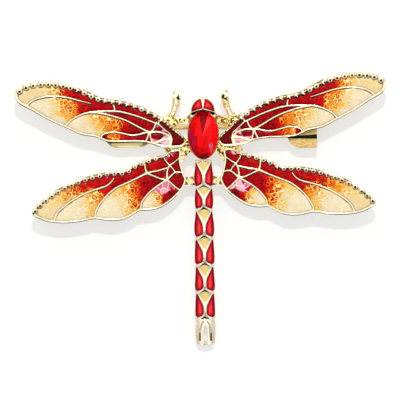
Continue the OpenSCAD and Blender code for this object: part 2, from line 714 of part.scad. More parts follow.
gold_casting();
stone();
pin_stem();
hinge_rivet();
enamel_front("left");  // enamel_front_left
enamel_front("right");  // enamel_front_right
enamel_rear("left");  // enamel_rear_left
enamel_rear("right");  // enamel_rear_right
enamel_head("left");  // enamel_head_left
enamel_head("right");  // enamel_head_right
for (i = [0 : 5]) enamel_segment(i);
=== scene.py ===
import math

import bmesh
import bpy
import numpy as np
from mathutils import Matrix, Vector
from mathutils.kdtree import KDTree


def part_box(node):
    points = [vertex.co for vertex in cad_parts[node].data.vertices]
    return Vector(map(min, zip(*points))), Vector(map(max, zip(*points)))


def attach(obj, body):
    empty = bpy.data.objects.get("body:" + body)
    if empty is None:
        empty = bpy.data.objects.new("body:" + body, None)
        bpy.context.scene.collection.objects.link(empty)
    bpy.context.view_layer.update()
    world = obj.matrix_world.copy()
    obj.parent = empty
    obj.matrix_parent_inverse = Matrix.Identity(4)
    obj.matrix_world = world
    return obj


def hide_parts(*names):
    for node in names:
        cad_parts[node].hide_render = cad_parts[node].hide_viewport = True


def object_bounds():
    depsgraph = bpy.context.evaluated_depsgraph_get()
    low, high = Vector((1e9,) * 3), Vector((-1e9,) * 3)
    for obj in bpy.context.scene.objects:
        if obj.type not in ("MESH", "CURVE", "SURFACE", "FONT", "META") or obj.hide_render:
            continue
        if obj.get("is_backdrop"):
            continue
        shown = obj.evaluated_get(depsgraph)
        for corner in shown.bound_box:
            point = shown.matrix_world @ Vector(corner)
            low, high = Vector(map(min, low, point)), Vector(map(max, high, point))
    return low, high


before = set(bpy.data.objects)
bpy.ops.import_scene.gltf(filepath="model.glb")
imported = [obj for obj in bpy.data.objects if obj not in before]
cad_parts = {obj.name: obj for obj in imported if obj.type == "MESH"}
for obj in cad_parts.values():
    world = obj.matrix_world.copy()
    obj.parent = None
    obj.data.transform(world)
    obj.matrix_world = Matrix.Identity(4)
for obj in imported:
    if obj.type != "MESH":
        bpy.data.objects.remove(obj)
solids_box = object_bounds()
scene = bpy.context.scene


# The table the brooch lies on: a white board lit through from below, seen from straight above by a long
# lens. A crisp lamp on the head's side throws the shadow, and a white tent with a dark slot fills the rest.
def piece_from(bm, name):
    mesh = bpy.data.meshes.new(name)
    bm.to_mesh(mesh)
    bm.free()
    made = bpy.data.objects.new(name, mesh)
    scene.collection.objects.link(made)
    return made


board_half = 0.6
bm = bmesh.new()
bmesh.ops.create_grid(bm, x_segments=2, y_segments=2, size=board_half)
board = piece_from(bm, "table_board")
board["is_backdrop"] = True


def new_material(name):
    made = bpy.data.materials.new(name)
    made.use_nodes = True
    return made, made.node_tree, made.node_tree.nodes["Principled BSDF"]


# A term that comes from another node is linked to its socket, and any other is set on it
def set_up(tree, made, terms):
    for socket, term in terms.items():
        if isinstance(term, bpy.types.NodeSocket):
            tree.links.new(term, made.inputs[socket])
        else:
            made.inputs[socket].default_value = term


def add_node(tree, kind, settings=None, terms=None):
    made = tree.nodes.new(kind)
    for name, value in (settings or {}).items():
        setattr(made, name, value)
    set_up(tree, made, terms or {})
    return made


def own_place(tree, stretch=None):
    place = add_node(tree, "ShaderNodeTexCoord").outputs["Object"]
    if not stretch:
        return place
    return add_node(tree, "ShaderNodeMapping", terms={"Vector": place, "Scale": stretch}).outputs["Vector"]


def noise(tree, place, scale, detail, roughness=0.5, gives="Fac"):
    terms = {"Vector": place, "Scale": scale, "Detail": detail, "Roughness": roughness}
    return add_node(tree, "ShaderNodeTexNoise", terms=terms).outputs[gives]


# A ramp over a value: each stop has its place and its colour, or a number for a grey
def tones(tree, value, stops):
    made = add_node(tree, "ShaderNodeValToRGB", terms={"Fac": value})
    elements = made.color_ramp.elements
    while len(elements) < len(stops):
        elements.new(0.5)
    for element, (place, tone) in zip(elements, stops):
        element.position = place
        element.color = (*(tone if isinstance(tone, tuple) else (tone,) * 3), 1)
    return made.outputs["Color"]


board_white, tree, shader = new_material("board_white")
board_tones = [(0.3, (0.385, 0.385, 0.387)), (0.7, (0.395, 0.395, 0.397))]
mottle = noise(tree, own_place(tree), scale=60, detail=3)
set_up(tree, shader, {
    "Base Color": tones(tree, mottle, board_tones), "Roughness": 0.9, "Specular IOR Level": 0.1,
    "Emission Color": (1, 1, 1, 1), "Emission Strength": 0.55})
board.data.materials.append(board_white)

camera = bpy.data.objects.new("camera", bpy.data.cameras.new("camera"))
scene.collection.objects.link(camera)
camera.data.lens = 360
camera.location = (-0.00031, 0.00176, 0.805)
camera.rotation_euler = (0, 0, math.radians(-0.66))
scene.camera = camera
scene.view_settings.view_transform = "Standard"

lamp_lean, lamp_away = math.radians(28), 1.2
lamp = bpy.data.objects.new("head_side_lamp", bpy.data.lights.new("head_side_lamp", "AREA"))
scene.collection.objects.link(lamp)
lamp.data.shape = "DISK"
lamp.data.size = 0.06
lamp.data.energy = 6.6
lamp.location = (0.02, lamp_away * math.sin(lamp_lean), lamp_away * math.cos(lamp_lean))
lamp.rotation_euler = (-lamp_lean, 0, 0)


def axes(tree, vector):
    return add_node(tree, "ShaderNodeSeparateXYZ", terms={"Vector": vector}).outputs


def calculate(tree, operation, *terms):
    return add_node(tree, "ShaderNodeMath", {"operation": operation}, dict(enumerate(terms))).outputs[0]


def measure(tree, operation, vector, other):
    made = add_node(tree, "ShaderNodeVectorMath", {"operation": operation}, {0: vector, 1: other})
    return made.outputs["Value"]


def scaled(tree, tone, share):
    made = add_node(tree, "ShaderNodeVectorMath", {"operation": "SCALE"}, {0: tone, "Scale": share})
    return made.outputs["Vector"]


# Goes from low to high while the value goes from start to end
def fade(tree, value, start, end, low=0, high=1, kind="SMOOTHSTEP"):
    terms = {"Value": value, "From Min": start, "From Max": end, "To Min": low, "To Max": high}
    return add_node(tree, "ShaderNodeMapRange", {"interpolation_type": kind}, terms).outputs["Result"]


def blend(tree, share, first, second):
    return add_node(tree, "ShaderNodeMix", {"data_type": "RGBA"}, {0: share, 6: first, 7: second}).outputs[2]


scene.world = bpy.data.worlds.new("tent")
scene.world.use_nodes = True
tree = scene.world.node_tree
direction = add_node(tree, "ShaderNodeTexCoord").outputs["Generated"]
along = axes(tree, direction)
tent = tones(tree, along["Z"], [(0, (0.13, 0.09, 0.05)), (0.12, (0.3, 0.24, 0.16)), (0.4, (0.64, 0.59, 0.5)),
                                (0.75, (0.94, 0.93, 0.9)), (1, 1.2)])
slot_lean, slot_core, slot_edge = (math.radians(degrees) for degrees in (38, 17, 22))
to_slot = measure(tree, "DOT_PRODUCT", direction, (0, -math.sin(slot_lean), math.cos(slot_lean)))
off_slot = fade(tree, to_slot, math.cos(slot_edge), math.cos(slot_core), low=1, high=0.02)
# The tent is open low down on the tail's side, and its head side is the brighter one
tail_side = fade(tree, along["Y"], -0.96, -0.7, low=0.06)
head_side = fade(tree, along["Y"], 0.3, 0.9, low=1, high=1.8)
tent_light = calculate(tree, "MULTIPLY", calculate(tree, "MULTIPLY", tail_side, head_side), off_slot)
by_camera = add_node(tree, "ShaderNodeLightPath").outputs["Is Camera Ray"]
set_up(tree, tree.nodes["Background"], {
    "Color": blend(tree, by_camera, scaled(tree, tent, tent_light), (0.9, 0.9, 0.9, 1))})


# The casting: wings, head, setting, body, antennae, hinge ears and catch, cast in zinc, tumbled till its
# arrises are round, and gold plated. Its hollows are painted black as shade, its goblets matt, and the metal
# about the stone, the beads, the roots and the pads on its back each have a finish of their own. Painted
# shadows and reflections lie on its rims, goblets, beads, roots and pads, and the body's top and the beads
# are paler copies of the plating, painted light.
def merged_copy(node):
    doubles, same_plane = 2e-7, math.radians(1)
    bm = bmesh.new()
    bm.from_mesh(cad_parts[node].data)
    bmesh.ops.remove_doubles(bm, verts=bm.verts, dist=doubles)
    bmesh.ops.dissolve_limit(bm, angle_limit=same_plane, verts=bm.verts, edges=bm.edges)
    return bm


# Where each wing's own drawing lies: turned about the stone and rising to its tip, the left ones farther out
stone_at = Vector((0.00048, 0.01479, 0))
wing_turn, wing_rise, left_out = math.radians(1.1), math.radians(2), 0.00058


def wing_place(side):
    left = side == "left"
    return (Matrix.Translation(stone_at - Vector((left_out if left else 0, 0, 0)))
            @ Matrix.Rotation(wing_turn, 4, "Z") @ Matrix.Diagonal((-1 if left else 1, 1, 1, 1))
            @ Matrix.Rotation(-wing_rise, 4, "Y"))


to_wings = {side: wing_place(side).inverted() for side in ("left", "right")}


def on_wing(point):
    return to_wings["left" if point.x < stone_at.x else "right"] @ point


def nearest_of(points):
    found = KDTree(len(points))
    for i, point in enumerate(points):
        found.insert(point, i)
    found.balance()
    return found


# Every outer arris is rounded, the wings' rims most, and none where it would run into a bead's foot
rim_round, arris_round = 0.00014, 0.000055
rim_from_foot, arris_from_foot = 0.0006, 0.00012
rim_wall, rim_above, rim_from_middle, level = 0.0012, 0.0042, 0.004, 0.95
foot_turn, arris_turns = -5, (50, 130)
bm = merged_copy("gold_casting")
turns = {e: math.degrees(e.calc_face_angle_signed(0)) for e in bm.edges if e.is_manifold}
near_foot = nearest_of([v.co for e, turn in turns.items() if turn < foot_turn
                        and max(abs(f.normal.z) for f in e.link_faces) > level for v in e.verts])


def wall_height(arris):
    wall = min(arris.link_faces, key=lambda f: abs(f.normal.z))
    return max(v.co.z for v in wall.verts) - min(v.co.z for v in wall.verts)


def round_off(edges, reach, segments):
    bmesh.ops.bevel(bm, geom=[e for e in edges if e.is_valid], offset=reach, offset_type="OFFSET",
                    affect="EDGES", segments=segments, profile=0.5, clamp_overlap=False, material=-1,
                    loop_slide=True, miter_outer="ARC")


from_foot = {e: min(near_foot.find(v.co)[2] for v in e.verts) for e, turn in turns.items()
             if arris_turns[0] < turn < arris_turns[1]}
rims = [e for e, away in from_foot.items() if away > rim_from_foot and wall_height(e) > rim_wall
        and e.verts[0].co.z > rim_above and max(f.normal.z for f in e.link_faces) > level
        and abs(e.verts[0].co.x) > rim_from_middle]
on_rim = set(rims)
round_off([e for e, away in from_foot.items() if away > arris_from_foot and e not in on_rim], arris_round, 2)
round_off(rims, rim_round, 3)
bmesh.ops.triangulate(bm, faces=[f for f in bm.faces if len(f.verts) > 4], ngon_method="BEAUTY")

# Beads are the only metal high over the wings
wing_top, over_top, beads_from, bead_span = 0.0047, 0.0003, 0.007, 0.00095
high = [v for v in bm.verts if (at := on_wing(v.co)).z > wing_top + over_top and at.x > beads_from]
bead_middles = []
while high:
    group = [v for v in high if (v.co.xy - high[0].co.xy).length < bead_span]
    high = [v for v in high if v not in set(group)]
    lows, tops = ([f(v.co[axis] for v in group) for axis in (0, 1)] for f in (min, max))
    bead_middles.append(Vector(((lows[0] + tops[0]) / 2, (lows[1] + tops[1]) / 2, 0)))
near_bead = nearest_of(bead_middles)

# Where the body's own drawing lies: it starts on the stone's tail side and falls toward the tail
body_start, body_fall = Vector((0, -0.00494, 0.0031)), math.radians(4.793)
body_place = Matrix.Translation(stone_at + body_start) @ Matrix.Rotation(body_fall, 4, "X")
to_body = body_place.inverted()

# Where each finish lies, in mm, and how far its faces may lean. On a wing: the pads under it, the beads on
# it, and its leading edge, which is rough from the root on
pad_top, pads_from, pad_lean = 3.22, 9.8, -0.5
bead_foot, bead_reach = 0.01, 0.5
edge_start, edge_run, edge_heights, edge_lean = (3.6, -0.2), (4, 3.7), (4.6, 4.9), 0.3
beside_edge, edge_tail_end, edge_tip_end, all_rough_to = -0.42, -2.6, 8.2, 3.65
# About the stone: the flat roots, the setting's lip, the foot of the stone, and the bars to the rear wings
root_heights, root_half, root_lean = (4.35, 4.56), 8.5, 0.9999
setting_half, lip_wide, lip_above = (3.07, 4.82), 0.032, 5.2
foot_ring, foot_wide, foot_above, foot_from = 1.01, 0.06, 4.5, 4.4
bar_across, bar_along, bar_top = (1.9, 4.9), (8.2, 10.4), 4.55
# Along the body: its rounded top, the edges the enamel runs out over, and the goblets and grooves sunk in it
body_half, body_long, body_above, body_top, body_round = 3, 38, 0.8, 2.6, 2.83
edge_across, edge_above, edge_share = (1.5, 2.1), 1.3, (0.1, 0.94)
segment_starts = [0, 5.3, 9.8, 15.5, 21, 26.4, 31.7]
sunk_half, sunk_depths, sunk_lean, goblet_lead = 1.4, (0.2, 0.45), 0.6, 0.5
tail_start, crescent_end, crescent_half, slits_from = 31.3, 32.5, 0.9, 34.6


def within(value, span):
    return span[0] < value < span[1]


# How far a point lies to the left of a line, which has a start and a run
def beside_line(x, y, start, run):
    return (run[0] * (y - start[1]) - run[1] * (x - start[0])) / math.hypot(*run)


# Each pad, bead and goblet face keeps its place here for its tone and its painted shade
tone_and_shade_place = bm.loops.layers.float_vector.new("tone_and_shade_place")
plate, goblet, shaded_hollow, back, bead, root, lip, spine, edge, bar = range(10)
for face in bm.faces:
    middle, up = face.calc_center_median(), face.normal.z
    wing_x, wing_y, wing_z = 1000 * on_wing(middle)
    stone_x, stone_y, height = 1000 * (middle - stone_at)
    x, y, z = 1000 * (to_body @ middle)
    if wing_z < pad_top and up > pad_lean and wing_x > pads_from:
        face.material_index = back
        for loop in face.loops:
            loop[tone_and_shade_place] = 1000 * (to_wings["right"] @ loop.vert.co)
    if wing_z > 1000 * wing_top + bead_foot and wing_x > 1000 * beads_from:
        bead_middle, _, away = near_bead.find(Vector((middle.x, middle.y, 0)))
        if 1000 * away < bead_reach:
            face.material_index = bead
            for loop in face.loops:
                loop[tone_and_shade_place] = 1000 * (Vector((loop.vert.co.x, loop.vert.co.y, 0)) - bead_middle)
    if up > root_lean and within(height, root_heights) and abs(stone_x) < root_half:
        face.material_index = root
    on_edge = beside_line(wing_x, wing_y, edge_start, edge_run) > beside_edge and wing_x < edge_tip_end
    if up > edge_lean and within(wing_z, edge_heights) and wing_y > edge_tail_end and (
            on_edge or wing_x < all_rough_to):
        face.material_index = root
    ring = math.hypot(stone_x / setting_half[0], stone_y / setting_half[1])
    if abs(ring - 1) < lip_wide and height > lip_above:
        face.material_index = lip
    # The foot of the stone is painted black as shade
    if abs(ring - foot_ring) < foot_wide and height > foot_above and -stone_y > foot_from:
        face.material_index = shaded_hollow
    # The body's top and its tail groove take a paler copy of the plating, painted light
    if abs(x) < body_half and 0 < -y < body_long and z > body_above:
        face.material_index = spine
    if within(abs(x), edge_across) and z > edge_above and 0 < -y < segment_starts[-1]:
        segment = sum(start <= -y for start in segment_starts) - 1
        begins, ends = segment_starts[segment:segment + 2]
        if within((-y - begins) / (ends - begins), edge_share):
            face.material_index = edge
    if within(abs(stone_x), bar_across) and within(-stone_y, bar_along) and height < bar_top:
        face.material_index = bar
    if abs(x) < sunk_half and 0 < -y < body_long:
        under = body_top - body_round + math.sqrt(body_round ** 2 - x * x) - z
        if within(under, sunk_depths) and up > sunk_lean:
            # The tail's crescent and its slits are painted black as shade
            dark = tail_start < -y < crescent_end and abs(x) < crescent_half or -y > slits_from
            face.material_index = shaded_hollow if dark else spine if -y > tail_start else goblet
            start = [s for s in segment_starts if s < goblet_lead - y][-1]
            for loop in face.loops:
                corner = 1000 * (to_body @ loop.vert.co)
                loop[tone_and_shade_place] = (abs(corner.x), -corner.y - start, 0)

# Dark webs low between the outer prongs of the tail: black sheets that stand in for the shade in the slits
web_aside, web_along, web_height, web_size = 0.00112, -0.03555, 0.0011, (0.00032, 0.00152, 0.0012)
for x in (-web_aside, web_aside):
    shade_web = bmesh.ops.create_cube(bm, size=1)["verts"]
    bmesh.ops.scale(bm, verts=shade_web, vec=web_size)
    bmesh.ops.translate(bm, verts=shade_web, vec=(x, web_along, web_height))
    bmesh.ops.transform(bm, verts=shade_web, matrix=body_place)
    for face in {f for v in shade_web for f in v.link_faces}:
        face.material_index = shaded_hollow
casting = piece_from(bm, "cast_frame")
sharp_turn, flat_area, flat_level = math.radians(35), 2e-7, 0.9985
casting.data.shade_smooth()
casting.data.set_sharp_from_angle(angle=sharp_turn)
casting.modifiers.new("even_shading", "WEIGHTED_NORMAL").keep_sharp = True
for face in casting.data.polygons:
    if face.material_index == goblet or face.area > flat_area and abs(face.normal.z) > flat_level:
        face.use_smooth = False


def new_group(name, takes, gives):
    made = bpy.data.node_groups.new(name, "ShaderNodeTree")
    for way, sockets in (("INPUT", takes), ("OUTPUT", gives)):
        for socket, kind in sockets.items():
            made.interface.new_socket(socket, in_out=way, socket_type="NodeSocket" + kind)
    return made, made.nodes.new("NodeGroupInput").outputs, made.nodes.new("NodeGroupOutput")


# The skin of the plating: stains, pores, a ripple from the mould and brown specks of dirt
per_mm = (1000, 1000, 1000)
cast_skin, given, handed = new_group(
    "cast_skin", {"Tone": "Color", "Shadow": "Color", "Gloss": "Float", "Dirt": "Float"},
    {"Color": "Color", "Roughness": "Float", "Height": "Float"})
place = own_place(cast_skin, per_mm)
stain = noise(cast_skin, place, scale=0.55, detail=4, roughness=0.65)
ripple = noise(cast_skin, place, scale=1.6, detail=2)
pores = noise(cast_skin, place, scale=9, detail=3)
specks = fade(cast_skin, noise(cast_skin, place, scale=2.1, detail=2), 0.52, 0.59)
wear = fade(cast_skin, stain, 0.5, 0.72, high=0.5, kind="LINEAR")
worn = blend(cast_skin, wear, given["Tone"], given["Shadow"])
dirty = calculate(cast_skin, "MULTIPLY", specks, given["Dirt"])
set_up(cast_skin, handed, {
    "Color": blend(cast_skin, dirty, worn, (0.05, 0.03, 0.01, 1)),
    "Roughness": calculate(cast_skin, "MULTIPLY_ADD", pores, 0.16, given["Gloss"]),
    "Height": calculate(cast_skin, "MULTIPLY_ADD", pores, 0.12, ripple)})


def plated_metal(name, tone, shadow, gloss, ripple_height, dirt=0.0, metallic=1.0):
    metal, tree, shader = new_material(name)
    skin = add_node(tree, "ShaderNodeGroup", {"node_tree": cast_skin}, {
        "Tone": (*tone, 1), "Shadow": (*shadow, 1), "Gloss": gloss, "Dirt": dirt}).outputs
    relief = add_node(tree, "ShaderNodeBump", terms={"Distance": ripple_height, "Height": skin["Height"]})
    set_up(tree, shader, {"Base Color": skin["Color"], "Roughness": skin["Roughness"], "Metallic": metallic,
                          "Normal": relief.outputs["Normal"], "Specular Tint": (0.62, 0.45, 0.2, 1)})
    return metal


gold_plate = plated_metal("gold_plate", (0.96, 0.85, 0.6), (0.86, 0.66, 0.34), 0.05, 0.00004)
goblet_gold = plated_metal("goblet_gold", (0.78, 0.61, 0.27), (0.7, 0.53, 0.23), 0.5, 0.00001)
# Black for the painted shade in the hollows, at the stone's foot, in the tail and on the webs
painted_shade_gold = plated_metal("painted_shade_gold", (0.05, 0.035, 0.015), (0.3, 0.2, 0.08), 0.4, 0.00001)
back_gold = plated_metal("back_gold", (0.56, 0.39, 0.15), (0.42, 0.26, 0.09), 0.3, 0.00004, dirt=0.25)
# The beads' metal: a paler, mostly matt copy of the plating, painted light
bead_gold = plated_metal("bead_gold", (1, 0.95, 0.76), (0.98, 0.88, 0.62), 0.3, 0.00001, metallic=0.12)
root_gold = plated_metal("root_gold", (1, 0.74, 0.32), (0.66, 0.38, 0.1), 0.1, 0.0002, dirt=1)
lip_gold = plated_metal("lip_gold", (0.5, 0.1, 0.05), (0.3, 0.05, 0.02), 0.2, 0.00001)
# A paler copy of the plating for the body's top, painted light
spine_gold = plated_metal("spine_gold", (0.93, 0.87, 0.71), (0.88, 0.78, 0.54), 0.14, 0.00005, metallic=0.75)
edge_red = plated_metal("edge_red", (0.86, 0.06, 0.09), (0.6, 0.02, 0.04), 0.3, 0.00001, metallic=0.15)
bar_gold = plated_metal("bar_gold", (0.74, 0.6, 0.32), (0.55, 0.4, 0.17), 0.3, 0.00012, dirt=0.45)
for metal in (gold_plate, goblet_gold, painted_shade_gold, back_gold, bead_gold, root_gold, lip_gold, spine_gold,
              edge_red, bar_gold):
    casting.data.materials.append(metal)


def lay_over(metal, share, tone):
    tree, shader = metal.node_tree, metal.node_tree.nodes["Principled BSDF"]
    skin = shader.inputs["Base Color"].links[0].from_socket
    set_up(tree, shader, {"Base Color": blend(tree, share, skin, (*tone, 1))})


# Paints black over a metal, for painted shade and painted reflections: in full up to one value, fading till
# there is none from another value on
def paint_black_shade(metal, value, full, none):
    lay_over(metal, fade(metal.node_tree, value, full, none, low=1, high=0), (0.01, 0.008, 0.005))


def attribute(tree, name):
    return add_node(tree, "ShaderNodeAttribute", {"attribute_name": name}).outputs


# The rims are painted black in dashes where they round off to the tail's side: painted dark reflections
tree = gold_plate.node_tree
facing = add_node(tree, "ShaderNodeNewGeometry").outputs["Normal"]
to_tail = measure(tree, "DOT_PRODUCT", facing, (0, 0.8, -0.6))
reflection_dashes = noise(tree, own_place(tree), scale=130, detail=1)
paint_black_shade(gold_plate, calculate(tree, "MULTIPLY_ADD", reflection_dashes, 0.6, to_tail), full=-0.56, none=-0.46)
# Each goblet has a painted shadow, black under its arch
tree = goblet_gold.node_tree
in_goblet = axes(tree, attribute(tree, "tone_and_shade_place")["Vector"])
under_arch = calculate(tree, "MULTIPLY_ADD", in_goblet["X"], -0.3, in_goblet["Y"])
paint_black_shade(goblet_gold, under_arch, full=-0.09, none=0)
# Each bead has a black dot painted in its middle as a reflection, which is larger toward the tips
tree = bead_gold.node_tree
from_dot = measure(tree, "DISTANCE", attribute(tree, "tone_and_shade_place")["Vector"], (0, -0.06, 0))
ragged_dot_reach = calculate(tree, "MULTIPLY_ADD", noise(tree, own_place(tree), scale=2200, detail=1), -0.24, from_dot)
outward = calculate(tree, "ABSOLUTE", axes(tree, own_place(tree))["X"])
paint_black_shade(bead_gold, calculate(tree, "MULTIPLY_ADD", outward, -3.6, ragged_dot_reach), full=0, none=0.06)
# The hinge's pad on the left is the paler one, and the catch's pad has a dark band that widens outward:
# a painted shadow and reflection of the wing's edge
tree = back_gold.node_tree
on_pad = axes(tree, attribute(tree, "tone_and_shade_place")["Vector"])
lay_over(back_gold, calculate(tree, "LESS_THAN", on_pad["X"], 0), (0.7, 0.57, 0.28))
off_shadow_band = calculate(tree, "ABSOLUTE", calculate(tree, "ADD", on_pad["Y"], 1.02))
shadow_band_half = fade(tree, on_pad["X"], 14, 23, high=0.4, kind="LINEAR")
paint_black_shade(back_gold, calculate(tree, "SUBTRACT", off_shadow_band, shadow_band_half), full=0, none=0.14)
# The rough roots are painted black in their depth, as shade between the grains
tree = root_gold.node_tree
paint_black_shade(root_gold, axes(tree, own_place(tree))["Z"], full=0.0038, none=0.0045)
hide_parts("gold_casting")
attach(casting, "brooch")


# The grains at the wing roots: drops of solder and cast grains, heaped where wings, head and setting meet.
# They are plated with the casting, and its painted shade stays dark between them.
rng = np.random.default_rng(7)
# Each run of grains has rows of x, y from the stone and grain size, in mm
grain_runs = [
    [(-6.3, 3.6, 0.34), (-5.2, 3.1, 0.34), (-3.9, 2.95, 0.26), (-3.0, 3.3, 0.26)],
    [(3.0, 3.4, 0.34), (4.0, 3.2, 0.36), (5.2, 3.3, 0.4), (6.3, 3.2, 0.36), (7.2, 3.4, 0.3)],
    [(3.4, 2.7, 0.3), (4.6, 2.4, 0.32), (5.6, 2.2, 0.3)],
    [(-7.6, -2.75, 0.24), (-6.4, -2.6, 0.3), (-5.2, -2.8, 0.32), (-4.2, -3.1, 0.32), (-3.7, -4.2, 0.26)],
    [(-3.1, -1.2, 0.24), (-3.4, -2.2, 0.3), (-3.2, -3.1, 0.3)],
    [(7.8, -3.0, 0.26), (6.6, -2.75, 0.32), (5.4, -2.7, 0.36), (4.3, -2.9, 0.36), (3.8, -4.2, 0.28)],
    [(3.1, -1.2, 0.26), (3.5, -2.1, 0.34), (3.3, -3.1, 0.32)],
]
grain_step, grain_scatter, grain_height, grain_flat = 0.3, 0.2, 4.6, 0.8
size_spread, height_spread, dent_spread = (0.6, 1.15), (-0.2, 0.1), (0.93, 1.07)
wide_spread, long_spread = (0.8, 1.3), (0.8, 1.2)
bm = bmesh.new()
for run in grain_runs:
    run = np.array(run)
    along = np.concatenate([[0], np.cumsum(np.hypot(*np.diff(run[:, :2], axis=0).T))])
    for s in np.arange(0, along[-1], grain_step):
        x, y, size = (np.interp(s, along, run[:, k]) for k in range(3))
        size *= rng.uniform(*size_spread)
        x, y = np.array((x, y)) + rng.normal(0, grain_scatter, 2)
        grain = bmesh.ops.create_icosphere(bm, subdivisions=2, radius=size / 1000)["verts"]
        for v in grain:
            v.co *= rng.uniform(*dent_spread)
        squashed = (rng.uniform(*wide_spread), rng.uniform(*long_spread), grain_flat)
        bmesh.ops.scale(bm, verts=grain, vec=squashed)
        up = Vector((x, y, grain_height + rng.uniform(*height_spread))) / 1000
        bmesh.ops.translate(bm, verts=grain, vec=stone_at + up)
bmesh.ops.smooth_vert(bm, verts=bm.verts, factor=0.4, use_axis_x=True, use_axis_y=True, use_axis_z=True)
grains = piece_from(bm, "root_grains")
grains.data.shade_smooth()
grains.data.materials.append(root_gold)
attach(grains, "brooch")


# The bulbs of the antennae: each antenna swells at its end to a longish drop of the same metal as the beads,
# with a black dot painted on its inner side as a reflection.
bulb_at, bulb_round, bulb_shape = Vector((0.0046, 0.00785, 0.00398)), 0.0009, (0.98, 1.4, 1)
dot_at, dot_squeeze, dot_above = (4.4, 7.7), (0.5, 0.32), 4.2
bm = bmesh.new()
tone_and_shade_place = bm.verts.layers.float_vector.new("tone_and_shade_place")
for side in ("left", "right"):
    bulb = bmesh.ops.create_uvsphere(bm, u_segments=32, v_segments=20, radius=bulb_round)["verts"]
    bmesh.ops.scale(bm, verts=bulb, vec=bulb_shape)
    bmesh.ops.translate(bm, verts=bulb, vec=bulb_at)
    for v in bulb:
        x, y, z = 1000 * v.co
        v[tone_and_shade_place] = (dot_squeeze[0] * (x - dot_at[0]), dot_squeeze[1] * (y - dot_at[1]),
                          0 if z > dot_above else 1)
    bmesh.ops.transform(bm, verts=bulb, matrix=wing_place(side))
bmesh.ops.recalc_face_normals(bm, faces=bm.faces)
bulbs = piece_from(bm, "antenna_bulbs")
bulbs.data.shade_smooth()
bulbs.data.materials.append(bead_gold)
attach(bulbs, "brooch")


# The enamel of the wings: poured into each cell and fired, so it stands up a little away from the metal.
# It runs from dark red at the root through a net of orange bubbles to cream at the tips.
def poured(node, name, pitch, lift, thick):
    rise_reach, top_level, at_metal = 0.0004, 0.35, 1e-6
    bm = merged_copy(node)
    bm.normal_update()
    bmesh.ops.delete(bm, geom=[f for f in bm.faces if f.normal.z < top_level], context="FACES")
    rim = np.array([[v.co.xy for v in e.verts] for e in bm.edges if e.is_boundary])
    low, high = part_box(node)
    for axis in (0, 1):
        for at in np.arange(low[axis] + pitch / 2, high[axis], pitch):
            cut, across = Vector((0, 0, 0)), Vector((0, 0, 0))
            cut[axis], across[axis] = at, 1
            bmesh.ops.bisect_plane(bm, geom=bm.verts[:] + bm.edges[:] + bm.faces[:], dist=1e-9,
                                   plane_co=cut, plane_no=across)
    from_rim, below_metal = bm.verts.layers.float.new("from_rim"), bm.verts.layers.float.new("below_metal")
    cell = bm.verts.layers.int.new("cell")
    along = rim[:, 1] - rim[:, 0]
    for v in bm.verts:
        from_start = np.array(v.co.xy) - rim[:, 0]
        share = np.clip((from_start * along).sum(1) / (along * along).sum(1), 0, 1)
        to_rim = share[:, None] * along - from_start
        apart = np.sqrt((to_rim ** 2).sum(1))
        v[from_rim], v[below_metal] = apart.min(), to_rim[apart.argmin(), 1] / max(apart.min(), 1e-9)
        v.co.z += lift * (1 - math.exp(-v[from_rim] / rise_reach))
    for v in bm.verts:
        inside = [w[below_metal] for e in v.link_edges for w in e.verts if w[from_rim] > at_metal]
        if v[from_rim] < at_metal and inside:
            v[below_metal] = sum(inside) / len(inside)
    cells = 0
    for first in bm.verts:
        cells += not first[cell]
        todo = [] if first[cell] else [first]
        while todo:
            v = todo.pop()
            v[cell] = cells
            todo += [w for e in v.link_edges for w in e.verts if not w[cell]]
    walls = bmesh.ops.extrude_edge_only(bm, edges=[e for e in bm.edges if e.is_boundary])["geom"]
    feet = [g for g in walls if isinstance(g, bmesh.types.BMVert)]
    bmesh.ops.translate(bm, verts=feet, vec=(0, 0, -thick))
    bmesh.ops.holes_fill(bm, edges=[e for e in bm.edges if e.is_boundary])
    bmesh.ops.recalc_face_normals(bm, faces=bm.faces)
    fill = piece_from(bm, name)
    fill.data.shade_smooth()
    fill.data.set_sharp_from_angle(angle=math.radians(40))
    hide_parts(node)
    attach(fill, "brooch")
    return fill


def read_attribute(mesh, name, size=1):
    values = np.zeros(len(mesh.vertices) * size)
    mesh.attributes[name].data.foreach_get("vector" if size == 3 else "value", values)
    return values.reshape(-1, size) if size > 1 else values
